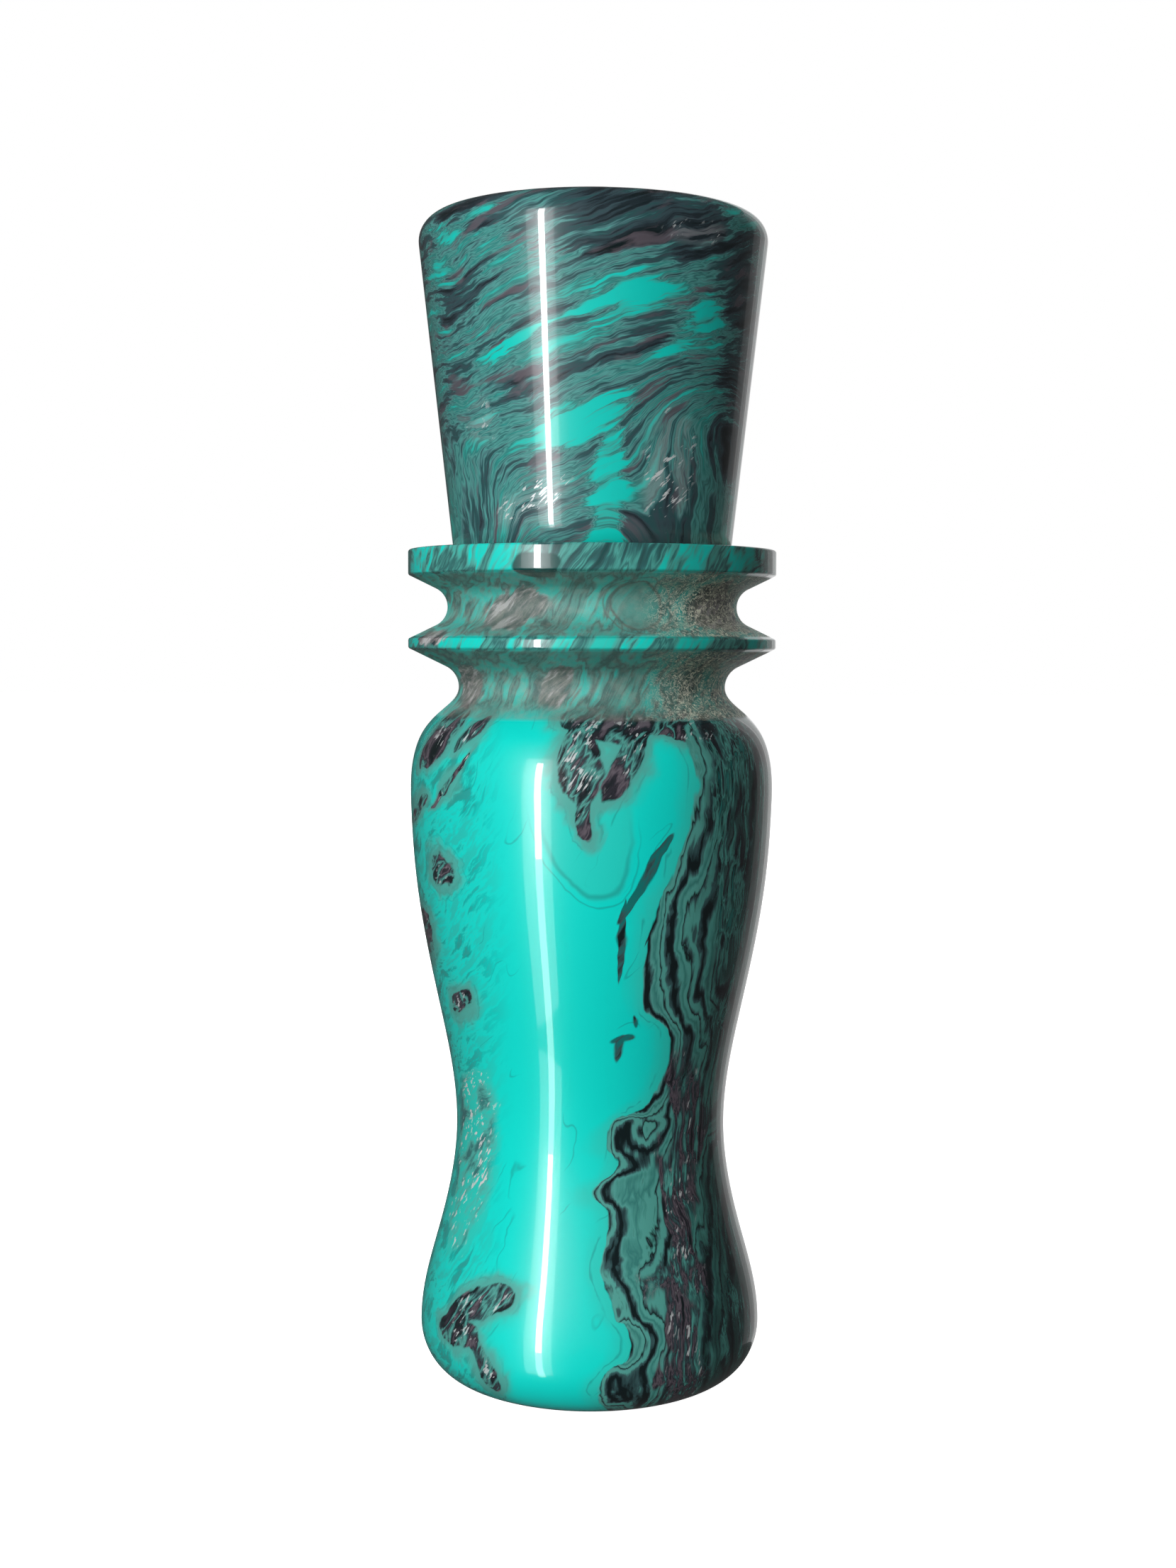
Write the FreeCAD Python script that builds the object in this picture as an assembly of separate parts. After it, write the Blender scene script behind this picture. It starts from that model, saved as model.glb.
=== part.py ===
import FreeCAD, Part

import math
import os

# Duck call: a turned resin barrel and a turned resin stopper that carries a double-reed tone board.
# Millimetres, +Z up. Everything is turned about Z. The mouthpiece face lies on z = 0, the bell
# points up, and the tone board's flat side faces -Y. Outlines are (z, radius) pairs.

# ---- Barrel, outside ----
barrel_length = 84.0
flange_radius = 18.55
edge_round = 0.25
lip_face_radius = 12.5
mouth_swell = (5.5, 17.35)
mouth_flank = (15.2, 15.40)
waist = (25.8, 13.68)
belly_flank = (38.5, 15.53)
belly_rise = (50.4, 17.71)
belly = (58.2, 18.30)
shoulder_top = (63.3, 18.02)
shoulder = (65.5, 17.24)
shoulder_slope = (67.8, 15.30)
lower_neck = (70.25, 13.47)
lower_neck_arc = 2.3
upper_neck = (78.3, 14.60)
upper_neck_arc = 2.05
groove_wall_angle = 64.0

# ---- Barrel, inside: the 5/8 in bore that call makers drill ----
bore_radius = 7.94
mouth_round = 1.3
socket_chamfer = 0.5

# ---- Stopper ----
seat_gap = 0.05
stopper_length = 33.0
stopper_base_radius = 14.05
stopper_taper = 0.112
bell_round = 2.5
base_chamfer = 0.35
crown_inner_radius = 12.0
throat_radius = 4.76
throat_bottom = 100.0
throat_top = 110.0
spigot_hole_radius = 6.35

# ---- Tone board ----
spigot_radius = 6.32
spigot_top = 99.5
collar_radius = 7.85
collar_bottom = 64.0
collar_chamfer = 0.5
board_tip = 24.0
board_half_width = 5.5
board_back_radius = 7.2
board_back_fillet = 0.8
board_plane = -0.8
board_break = 52.0
tip_drop = 1.0
tip_back_round = 3.0
channel_radius = 3.175
channel_start = 28.0
channel_full_depth = 42.0
slot_end = 73.5
slot_mouth_height = 4.9
slot_end_height = 2.8

# ---- O-rings, drawn as they lie squeezed between groove and bore ----
o_ring_heights = {"front_o_ring": 76.4, "rear_o_ring": 80.6}
o_ring_groove_radius = 6.30
o_ring_groove_width = 2.4
o_ring_clearance = 0.04
o_ring_half_height = 0.95

# ---- Reeds: 0.25 mm film, each drawn as a clamped root and a tongue that bends at board_break ----
reed_thickness = 0.25
reed_half_width = 5.1
reed_end = 73.2
reed_gap = 0.05
bend_gap = 0.03
long_reed_tip = 25.2
short_reed_tip = 27.4
tip_corner = 1.6
dimple_radius = 0.65
dimple_depth = 0.12
dimple_z = 31.5
dimple_spacing = 4.4

# ---- Cork wedge ----
wedge_front = 61.5
wedge_rear = 73.0
wedge_half_width = 5.0
wedge_envelope = 7.5
wedge_gap = 0.03

AXIS = FreeCAD.Vector(0, 0, 1)
ORIGIN = FreeCAD.Vector(0, 0, 0)


def point(zr):
    """An outline point (z, radius) in the XZ half-plane that is turned about Z."""
    return FreeCAD.Vector(zr[1], 0, zr[0])


def line(a, b):
    return Part.LineSegment(point(a), point(b)).toShape()


def arc(a, middle, b):
    return Part.Arc(point(a), point(middle), point(b)).toShape()


def smooth(points, start_slope, end_slope):
    """A curve through the points. A slope is the (z, radius) direction at that end."""
    curve = Part.BSplineCurve()
    curve.interpolate(
        Points=[point(p) for p in points],
        InitialTangent=point(start_slope),
        FinalTangent=point(end_slope),
    )
    return curve.toShape()


def quarter_ellipse(centre, end_across, end_along):
    """From centre + end_across radially to centre + end_along axially, bulging away from the centre."""
    steps = 8
    points = []
    for i in range(steps + 1):
        t = 0.5 * math.pi * i / steps
        z = centre[0] + end_along * math.sin(t)
        r = centre[1] + end_across * math.cos(t)
        points.append((z, r))
    along = math.copysign(1, end_along)
    across = -math.copysign(1, end_across)
    return smooth(points, (along, 0), (0, across))


def turned(edges):
    """The solid that a closed outline makes when it is turned about Z."""
    wire = Part.Wire(Part.__sortEdges__(edges))
    return Part.Face(wire).revolve(ORIGIN, AXIS, 360)


def cylinder(radius, bottom, top):
    return Part.makeCylinder(radius, top - bottom, FreeCAD.Vector(0, 0, bottom), AXIS)


def block(x, y, z):
    """A box between pairs of limits."""
    corner = FreeCAD.Vector(x[0], y[0], z[0])
    return Part.makeBox(x[1] - x[0], y[1] - y[0], z[1] - z[0], corner)


def side_prism(zy_points, half_width):
    """An outline in the ZY plane, made as wide as 2 * half_width along X."""
    corners = [FreeCAD.Vector(-half_width, y, z) for z, y in zy_points]
    face = Part.Face(Part.makePolygon(corners + corners[:1]))
    return face.extrude(FreeCAD.Vector(2 * half_width, 0, 0))


def neck_to_wall(neck, neck_arc, rim_radius, direction):
    """A groove's side: an arc from the neck, then a straight wall to the rim. direction is +1 up, -1 down."""
    angle = math.radians(groove_wall_angle)
    half = 0.5 * angle
    middle = (neck[0] + direction * neck_arc * math.sin(half), neck[1] + neck_arc * (1 - math.cos(half)))
    end = (neck[0] + direction * neck_arc * math.sin(angle), neck[1] + neck_arc * (1 - math.cos(angle)))
    rim = (end[0] + direction * (rim_radius - end[1]) / math.tan(angle), rim_radius)
    return middle, end, rim


def barrel():
    lip = quarter_ellipse(
        (mouth_swell[0], lip_face_radius), mouth_swell[1] - lip_face_radius, -mouth_swell[0]
    )
    body = smooth(
        [
            mouth_swell,
            mouth_flank,
            waist,
            belly_flank,
            belly_rise,
            belly,
            shoulder_top,
            shoulder,
            shoulder_slope,
            lower_neck,
        ],
        (1, 0),
        (1, 0),
    )
    low_mid, low_end, low_rim = neck_to_wall(lower_neck, lower_neck_arc, flange_radius, 1)
    down_mid, down_end, down_rim = neck_to_wall(upper_neck, upper_neck_arc, flange_radius, -1)
    up_mid, up_end, up_rim = neck_to_wall(upper_neck, upper_neck_arc, flange_radius, 1)
    top_outer = (barrel_length, flange_radius)
    top_inner = (barrel_length, bore_radius + socket_chamfer)
    bore_top = (barrel_length - socket_chamfer, bore_radius)
    bore_bottom = (mouth_round, bore_radius)
    corner = mouth_round * (1 - math.sqrt(0.5))
    face_inner = (0, bore_radius + mouth_round)
    edges = [
        lip,
        body,
        arc(lower_neck, low_mid, low_end),
        line(low_end, low_rim),
        line(low_rim, down_rim),
        line(down_rim, down_end),
        arc(down_end, down_mid, upper_neck),
        arc(upper_neck, up_mid, up_end),
        line(up_end, up_rim),
        line(up_rim, top_outer),
        line(top_outer, top_inner),
        line(top_inner, bore_top),
        line(bore_top, bore_bottom),
        arc(bore_bottom, (corner, bore_radius + corner), face_inner),
        line(face_inner, (0, lip_face_radius)),
    ]
    solid = turned(edges)
    rims = [e for e in solid.Edges if is_circle(e, flange_radius)]
    return solid.makeFillet(edge_round, rims)


def is_circle(edge, radius):
    return isinstance(edge.Curve, Part.Circle) and abs(edge.Curve.Radius - radius) < 1e-4


def stopper():
    base = barrel_length + seat_gap
    top = barrel_length + stopper_length
    top_radius = stopper_base_radius + stopper_taper * (top - base)
    hole_roof = (throat_bottom, spigot_hole_radius)
    edges = [
        line((base, spigot_hole_radius), (base, stopper_base_radius)),
        line((base, stopper_base_radius), (top, top_radius)),
        line((top, top_radius), (top, crown_inner_radius)),
        quarter_ellipse((throat_top, crown_inner_radius), throat_radius - crown_inner_radius, top - throat_top),
        line((throat_top, throat_radius), (throat_bottom, throat_radius)),
        line((throat_bottom, throat_radius), hole_roof),
        line(hole_roof, (base, spigot_hole_radius)),
    ]
    solid = turned(edges)
    crown = [e for e in solid.Edges if is_circle(e, top_radius)]
    solid = solid.makeFillet(bell_round, crown)
    foot = [e for e in solid.Edges if is_circle(e, stopper_base_radius)]
    return solid.makeChamfer(base_chamfer, foot)


def slot_roof(z):
    """The Y of the wedge slot's sloping roof at a height z."""
    share = (z - collar_bottom) / (slot_end - collar_bottom)
    return board_plane - slot_mouth_height + share * (slot_mouth_height - slot_end_height)


def tone_channel():
    """The air channel: round along the axis, open towards the reeds, with a ramp at its start."""
    reach = 20.0
    bore = cylinder(channel_radius, channel_start, spigot_top + 1)
    trough = block((-channel_radius, channel_radius), (board_plane - 1, 0), (channel_start, slot_end))
    rise = channel_full_depth - channel_start
    start = FreeCAD.Vector(-reach, board_plane, channel_start)
    bend = FreeCAD.Vector(-reach, 0.7 * channel_radius, channel_start + 0.35 * rise)
    end = FreeCAD.Vector(-reach, channel_radius + 0.01, channel_full_depth)
    ramp = Part.Arc(start, bend, end).toShape()
    over = FreeCAD.Vector(-reach, channel_radius + 0.01, spigot_top + 2)
    corner = FreeCAD.Vector(-reach, -reach, spigot_top + 2)
    front = FreeCAD.Vector(-reach, -reach, channel_start)
    rest = Part.makePolygon([end, over, corner, front, start])
    keep = Part.Face(Part.Wire([ramp] + rest.Edges)).extrude(FreeCAD.Vector(2 * reach, 0, 0))
    return bore.fuse(trough).common(keep)


def tone_board_stock():
    """The turned stock: a slim end for the board, the collar that is the tenon, and the spigot."""
    outline = [
        (board_tip, 0),
        (board_tip, board_back_radius),
        (collar_bottom, board_back_radius),
        (collar_bottom, collar_radius - collar_chamfer),
        (collar_bottom + collar_chamfer, collar_radius),
        (barrel_length, collar_radius),
        (barrel_length, spigot_radius),
        (spigot_top, spigot_radius),
        (spigot_top, 0),
    ]
    ends = outline[1:] + outline[:1]
    stock = turned([line(a, b) for a, b in zip(outline, ends)])
    for height in o_ring_heights.values():
        low = height - 0.5 * o_ring_groove_width
        ring = cylinder(collar_radius + 1, low, low + o_ring_groove_width)
        stock = stock.cut(ring.cut(cylinder(o_ring_groove_radius, low, low + o_ring_groove_width)))
    return stock


def board_surface(z):
    """The Y of the board's flat side at a height z: level behind board_break, falling away towards the tip."""
    fall = tip_drop * (board_break - z) / (board_break - board_tip)
    return board_plane + max(0, fall)


def tone_board():
    body = tone_board_stock()
    reach = 2 * collar_radius
    for side in (-1, 1):
        limits = sorted((side * board_half_width, side * reach))
        body = body.cut(block(limits, (-reach, reach), (board_tip - 1, collar_bottom)))
    above_board = side_prism(
        [
            (board_tip - 1, -reach),
            (board_tip - 1, board_surface(board_tip - 1)),
            (board_break, board_plane),
            (slot_end, board_plane),
            (slot_end, slot_roof(slot_end)),
            (collar_bottom - 1, slot_roof(collar_bottom - 1)),
            (collar_bottom - 1, -reach),
        ],
        reach,
    )
    body = body.cut(above_board)
    back_edges = [e for e in body.Edges if is_back_edge(e)]
    body = body.makeFillet(board_back_fillet, back_edges)
    back_corner = side_prism(
        [
            (board_tip - 1, board_back_radius + 1),
            (board_tip - 1, board_back_radius - tip_back_round - 1),
            (board_tip + tip_back_round + 1, board_back_radius + 1),
        ],
        reach,
    )
    return body.cut(back_corner).cut(tone_channel()).removeSplitter()


def is_back_edge(edge):
    """A long straight edge where the board's flat flank meets its round back."""
    middle = edge.BoundBox.Center
    at_flank = abs(abs(middle.x) - board_half_width) < 1e-3
    return at_flank and middle.y > 1 and edge.Length > 0.9 * (collar_bottom - board_tip)


def o_ring(height):
    inner = o_ring_groove_radius + o_ring_clearance
    outer = bore_radius - o_ring_clearance
    centre = FreeCAD.Vector(0.5 * (inner + outer), 0, height)
    tall = centre + FreeCAD.Vector(0, 0, o_ring_half_height)
    wide = centre + FreeCAD.Vector(0.5 * (outer - inner), 0, 0)
    section = Part.Ellipse(tall, wide, centre).toShape()
    return Part.Face(Part.Wire([section])).revolve(ORIGIN, AXIS, 360)


def reed_plate(low_z, high_z, surface):
    """A flat strip of film lying on the plane y = surface, on its -Y side."""
    width = (-reed_half_width, reed_half_width)
    return block(width, (surface - reed_thickness, surface), (low_z, high_z))


def clipped_tip(plate, tip, surface):
    """Cuts the tip's two corners off at 45 degrees."""
    for side in (-1, 1):
        corners = [
            FreeCAD.Vector(side * (reed_half_width + 1), surface + 1, tip - 1),
            FreeCAD.Vector(side * (reed_half_width - tip_corner - 1), surface + 1, tip - 1),
            FreeCAD.Vector(side * (reed_half_width + 1), surface + 1, tip + tip_corner + 1),
        ]
        face = Part.Face(Part.makePolygon(corners + corners[:1]))
        plate = plate.cut(face.extrude(FreeCAD.Vector(0, -reed_thickness - 2, 0)))
    return plate


def dimples(surface):
    """Small balls that dent the film's outer side by dimple_depth."""
    ball_radius = (dimple_radius**2 + dimple_depth**2) / (2 * dimple_depth)
    y = surface - reed_thickness - ball_radius + dimple_depth
    places = [FreeCAD.Vector(side * 0.5 * dimple_spacing, y, dimple_z) for side in (-1, 1)]
    return [Part.makeSphere(ball_radius, place) for place in places]


def reed_nodes():
    long_surface = board_plane - 0.01
    short_surface = long_surface - reed_thickness - reed_gap
    found = {}
    for name, surface, tip in (
        ("long_reed", long_surface, long_reed_tip),
        ("short_reed", short_surface, short_reed_tip),
    ):
        found[name + "_root"] = reed_plate(board_break, reed_end, surface)
        tongue = reed_plate(tip, board_break - bend_gap, surface)
        found[name + "_tongue"] = clipped_tip(tongue, tip, surface)
    for ball in dimples(short_surface):
        found["short_reed_tongue"] = found["short_reed_tongue"].cut(ball)
    return found


def wedge():
    floor = board_plane - 0.01 - 2 * reed_thickness - reed_gap - wedge_gap
    cork = side_prism(
        [
            (wedge_front, floor),
            (wedge_rear, floor),
            (wedge_rear, slot_roof(wedge_rear) + wedge_gap),
            (wedge_front, slot_roof(wedge_front) + wedge_gap),
        ],
        wedge_half_width,
    )
    return cork.common(cylinder(wedge_envelope, wedge_front - 1, wedge_rear + 1))


def main():
    os.makedirs("parts", exist_ok=True)
    nodes = {
        "barrel": barrel(),
        "stopper": stopper(),
        "tone_board": tone_board(),
        "cork_wedge": wedge(),
        **reed_nodes(),
        **{name: o_ring(height) for name, height in o_ring_heights.items()},
    }
    for name, shape in nodes.items():
        shape.exportStep(f"parts/{name}.step")
        low = shape.BoundBox.ZMin
        high = shape.BoundBox.ZMax
        print(f"{name:18s} valid {shape.isValid()} volume {shape.Volume:9.2f} z {low:6.2f} to {high:6.2f}")


main()
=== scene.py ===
import math

import bmesh
import bpy
import numpy as np
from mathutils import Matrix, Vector, noise


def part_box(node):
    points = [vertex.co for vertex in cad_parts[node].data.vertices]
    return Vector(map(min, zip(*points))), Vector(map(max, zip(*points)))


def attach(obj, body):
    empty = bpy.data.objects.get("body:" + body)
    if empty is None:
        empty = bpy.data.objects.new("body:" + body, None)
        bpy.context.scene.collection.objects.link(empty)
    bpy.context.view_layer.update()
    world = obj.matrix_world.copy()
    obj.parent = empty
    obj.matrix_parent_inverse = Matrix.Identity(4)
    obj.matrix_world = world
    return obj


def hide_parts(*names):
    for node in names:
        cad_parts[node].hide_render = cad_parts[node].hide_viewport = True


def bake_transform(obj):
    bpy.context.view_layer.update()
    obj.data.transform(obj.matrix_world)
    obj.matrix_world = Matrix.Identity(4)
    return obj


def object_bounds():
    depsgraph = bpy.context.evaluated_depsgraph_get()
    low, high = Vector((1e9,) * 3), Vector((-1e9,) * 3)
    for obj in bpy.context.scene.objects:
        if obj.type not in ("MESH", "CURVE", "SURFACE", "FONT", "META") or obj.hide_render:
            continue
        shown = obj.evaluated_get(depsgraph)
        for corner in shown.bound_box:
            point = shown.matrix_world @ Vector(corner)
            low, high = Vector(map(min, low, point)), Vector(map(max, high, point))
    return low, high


# Duck call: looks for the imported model. Lengths are in millimetres and are scaled to metres where
# meshes, lights and the camera are made. The call stands on its mouthpiece, and the camera looks along +Y.

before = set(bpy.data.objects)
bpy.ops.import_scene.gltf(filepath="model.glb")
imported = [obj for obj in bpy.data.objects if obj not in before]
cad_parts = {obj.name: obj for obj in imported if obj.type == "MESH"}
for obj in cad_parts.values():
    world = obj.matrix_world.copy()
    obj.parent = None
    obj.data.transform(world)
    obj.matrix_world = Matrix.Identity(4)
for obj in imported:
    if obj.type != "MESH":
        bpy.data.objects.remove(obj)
CAD_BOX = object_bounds()

MM = 0.001
SEGMENTS = 224

# ---- Camera, fitted to the photo's silhouette, and the stage ----
EYE = (-0.4, -215.0, 74.5)
LENS = 48.6
SENSOR_WIDTH = 36.0
LOOK_DOWN = math.radians(3.755)
ROLL = math.radians(-0.2)
FLOOR_DROP = 0.1  # keeps the floor from lying in the lip's own plane
ROOM_BRIGHTNESS = 0.05

# ---- Outlines, (z, radius): the turned shapes of the barrel and the stopper ----
BARREL_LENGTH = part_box("barrel")[1].z / MM
CALL_LENGTH = CAD_BOX[1][2] / MM
FLANGE_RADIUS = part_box("barrel")[1].x / MM
EDGE_ROUND = 0.25
LIP_FACE_RADIUS = 12.5
MOUTH_SWELL = (5.5, 17.35)
BODY_CURVE = [
    MOUTH_SWELL,
    (15.2, 15.40),
    (25.8, 13.68),
    (38.5, 15.53),
    (50.4, 17.71),
    (58.2, 18.30),
    (63.3, 18.02),
    (65.5, 17.24),
    (67.8, 15.30),
    (70.25, 13.47),
]
LOWER_NECK = (70.25, 13.47)
LOWER_NECK_ARC = 2.3
UPPER_NECK = (78.3, 14.60)
UPPER_NECK_ARC = 2.05
GROOVE_WALL_ANGLE = math.radians(64)
BORE_RADIUS = 7.94
MOUTH_ROUND = 1.3
SOCKET_CHAMFER = 0.5

STOPPER_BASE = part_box("stopper")[0].z / MM
STOPPER_BASE_RADIUS = 14.05
STOPPER_TAPER = 0.112
BELL_ROUND = 2.5
BASE_CHAMFER = 0.35
CROWN_INNER_RADIUS = 12.0
THROAT_RADIUS = 4.76
THROAT_BOTTOM = 100.0
THROAT_TOP = 110.0
SPIGOT_HOLE_RADIUS = 6.35

# ---- Inner parts ----
TIP_CORNER = 1.6
DIMPLE_RADIUS = 0.65
DIMPLE_DEPTH = 0.12
DIMPLE_Z = 31.5
DIMPLE_SPACING = 4.4
O_RING_INNER_RADIUS = 6.34
CORK_GRAIN = 0.85


# ---------------------------------------------------------------- turned meshes


def spline(points, steps):
    """A cubic curve through (z, radius) points, level with the axis at both ends."""
    z, r = np.array(points, float).T
    chord = np.hypot(np.diff(z), np.diff(r))
    t = np.concatenate([[0], np.cumsum(chord)])
    count = len(t)
    found = []
    for values, end_slope in ((z, 1.0), (r, 0.0)):
        matrix = np.zeros((count, count))
        wanted = np.zeros(count)
        matrix[0, 0] = matrix[-1, -1] = 1
        wanted[0] = wanted[-1] = end_slope
        for i in range(1, count - 1):
            before, after = t[i] - t[i - 1], t[i + 1] - t[i]
            matrix[i, i - 1 : i + 2] = after, 2 * (before + after), before
            rise_before = (values[i] - values[i - 1]) / before
            rise_after = (values[i + 1] - values[i]) / after
            wanted[i] = 3 * (after * rise_before + before * rise_after)
        slopes = np.linalg.solve(matrix, wanted)
        curve = []
        for i in range(count - 1):
            span = t[i + 1] - t[i]
            for k in range(steps):
                u = k / steps
                curve.append(
                    values[i] * (2 * u**3 - 3 * u**2 + 1)
                    + span * slopes[i] * (u**3 - 2 * u**2 + u)
                    + values[i + 1] * (3 * u**2 - 2 * u**3)
                    + span * slopes[i + 1] * (u**3 - u**2)
                )
        curve.append(values[-1])
        found.append(curve)
    return list(zip(*found))


def arc(centre, radius, start, end, steps):
    """Points on an arc in the (z, radius) plane. Angles are in degrees from +z towards +radius."""
    points = []
    for i in range(steps + 1):
        angle = math.radians(start + (end - start) * i / steps)
        points.append((centre[0] + radius * math.cos(angle), centre[1] + radius * math.sin(angle)))
    return points


def quarter_ellipse(centre, across, along, steps):
    """From centre + across radially to centre + along axially."""
    points = []
    for i in range(steps + 1):
        angle = 0.5 * math.pi * i / steps
        points.append((centre[0] + along * math.sin(angle), centre[1] + across * math.cos(angle)))
    return points


def rounded(corner, before, after, radius, steps=5):
    """A fillet of the corner between the directions to the points before and after it."""
    c = Vector(corner)
    a = (Vector(before) - c).normalized()
    b = (Vector(after) - c).normalized()
    half = 0.5 * a.angle(b)
    centre = c + (a + b).normalized() * radius / math.sin(half)
    start = c + a * radius / math.tan(half) - centre
    end = c + b * radius / math.tan(half) - centre
    turn = start.angle(end)
    points = []
    for i in range(steps + 1):
        u = i / steps
        spoke = (start * math.sin((1 - u) * turn) + end * math.sin(u * turn)) / math.sin(turn)
        points.append(tuple(centre + spoke))
    return points


def divided(points, longest):
    """The same outline with extra points so that no step is longer than longest."""
    result = []
    for a, b in zip(points, points[1:] + points[:1]):
        parts = max(1, math.ceil(math.dist(a, b) / longest))
        for i in range(parts):
            u = i / parts
            result.append((a[0] + (b[0] - a[0]) * u, a[1] + (b[1] - a[1]) * u))
    return result


def without_repeats(points):
    kept = []
    for p in points:
        if not kept or math.dist(p, kept[-1]) > 1e-4:
            kept.append(p)
    return kept


def lathe(name, outline, smooth_angle=40):
    """Turns a closed outline about Z into a quad mesh."""
    outline = without_repeats(outline)
    bm = bmesh.new()
    rings = []
    for z, r in outline:
        ring = []
        for i in range(SEGMENTS):
            angle = 2 * math.pi * i / SEGMENTS
            ring.append(bm.verts.new((r * MM * math.cos(angle), r * MM * math.sin(angle), z * MM)))
        rings.append(ring)
    for low, high in zip(rings, rings[1:] + rings[:1]):
        for i in range(SEGMENTS):
            j = (i + 1) % SEGMENTS
            bm.faces.new((low[i], low[j], high[j], high[i]))
    bmesh.ops.recalc_face_normals(bm, faces=bm.faces)
    return finished_mesh(name, bm, smooth_angle)


def finished_mesh(name, bm, smooth_angle=40):
    mesh = bpy.data.meshes.new(name)
    bm.to_mesh(mesh)
    bm.free()
    mesh.shade_smooth()
    mesh.set_sharp_from_angle(angle=math.radians(smooth_angle))
    piece = bpy.data.objects.new(name, mesh)
    bpy.context.scene.collection.objects.link(piece)
    return piece


def groove_side(neck, radius, direction):
    """A lanyard groove's side: an arc from the neck that ends in a straight wall up to the rim."""
    points = []
    steps = 12
    for i in range(steps + 1):
        angle = GROOVE_WALL_ANGLE * i / steps
        z = neck[0] + direction * radius * math.sin(angle)
        points.append((z, neck[1] + radius * (1 - math.cos(angle))))
    end = points[-1]
    rim_z = end[0] + direction * (FLANGE_RADIUS - end[1]) / math.tan(GROOVE_WALL_ANGLE)
    return points, (rim_z, FLANGE_RADIUS)


def barrel_outline():
    swell_z, swell_radius = MOUTH_SWELL
    lip = quarter_ellipse((swell_z, LIP_FACE_RADIUS), swell_radius - LIP_FACE_RADIUS, -swell_z, 24)
    body = spline(BODY_CURVE, 12)
    low_side, low_rim = groove_side(LOWER_NECK, LOWER_NECK_ARC, 1)
    down_side, down_rim = groove_side(UPPER_NECK, UPPER_NECK_ARC, -1)
    up_side, up_rim = groove_side(UPPER_NECK, UPPER_NECK_ARC, 1)
    top = (BARREL_LENGTH, FLANGE_RADIUS)
    inner = (BARREL_LENGTH, BORE_RADIUS + SOCKET_CHAMFER)
    outline = lip[::-1] + body + low_side
    outline += rounded(low_rim, low_side[-1], down_rim, EDGE_ROUND)
    outline += rounded(down_rim, low_rim, down_side[-1], EDGE_ROUND)
    outline += down_side[::-1] + up_side
    outline += rounded(up_rim, up_side[-1], top, EDGE_ROUND)
    outline += rounded(top, up_rim, inner, EDGE_ROUND)
    outline += [inner, (BARREL_LENGTH - SOCKET_CHAMFER, BORE_RADIUS)]
    outline += arc((MOUTH_ROUND, BORE_RADIUS + MOUTH_ROUND), MOUTH_ROUND, -90, -180, 8)
    return divided(outline, 3.0)


def stopper_outline():
    top_radius = STOPPER_BASE_RADIUS + STOPPER_TAPER * (CALL_LENGTH - STOPPER_BASE)
    foot = (STOPPER_BASE, STOPPER_BASE_RADIUS)
    crown = (CALL_LENGTH, top_radius)
    hole = (STOPPER_BASE, SPIGOT_HOLE_RADIUS)
    outline = [
        (STOPPER_BASE, STOPPER_BASE_RADIUS - BASE_CHAMFER),
        (STOPPER_BASE + BASE_CHAMFER, STOPPER_BASE_RADIUS),
    ]
    outline += rounded(crown, foot, (CALL_LENGTH, 0), BELL_ROUND, 14)
    outline += quarter_ellipse(
        (THROAT_TOP, CROWN_INNER_RADIUS), THROAT_RADIUS - CROWN_INNER_RADIUS, CALL_LENGTH - THROAT_TOP, 24
    )[::-1]
    outline += [(THROAT_BOTTOM, THROAT_RADIUS), (THROAT_BOTTOM, SPIGOT_HOLE_RADIUS), hole]
    return divided(outline, 2.0)


# ---------------------------------------------------------------- material formulas


class Value:
    """A number or vector in a node tree. Arithmetic on it adds nodes, so a pattern reads as a formula."""

    def __init__(self, tree, socket):
        self.tree = tree
        self.socket = socket

    def math(self, operation, *others, clamp=False):
        node = self.tree.nodes.new("ShaderNodeMath")
        node.operation = operation
        node.use_clamp = clamp
        for socket, item in zip(node.inputs, (self, *others)):
            self.wire(socket, item)
        return Value(self.tree, node.outputs[0])

    def vector(self, operation, *others, output=0):
        node = self.tree.nodes.new("ShaderNodeVectorMath")
        node.operation = operation
        for socket, item in zip(node.inputs, (self, *others)):
            self.wire(socket, item)
        return Value(self.tree, node.outputs[output])

    def wire(self, socket, item):
        if isinstance(item, Value):
            self.tree.links.new(item.socket, socket)
        else:
            socket.default_value = item

    def __add__(self, other):
        return self.math("ADD", other)

    def __sub__(self, other):
        return self.math("SUBTRACT", other)

    def __mul__(self, other):
        return self.math("MULTIPLY", other)

    def __truediv__(self, other):
        return self.math("DIVIDE", other)

    def largest(self, other, softness=0.0):
        if softness:
            return self.math("SMOOTH_MAX", other, softness)
        return self.math("MAXIMUM", other)

    def step(self, low, high):
        """0 below low, 1 above high, and a smooth rise between them."""
        node = self.tree.nodes.new("ShaderNodeMapRange")
        node.interpolation_type = "SMOOTHSTEP"
        self.wire(node.inputs["Value"], self)
        if low < high:
            ends = (low, high, 0.0, 1.0)
        else:
            ends = (high, low, 1.0, 0.0)
        for name, end in zip(("From Min", "From Max", "To Min", "To Max"), ends):
            node.inputs[name].default_value = end
        return Value(self.tree, node.outputs["Result"])


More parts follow.
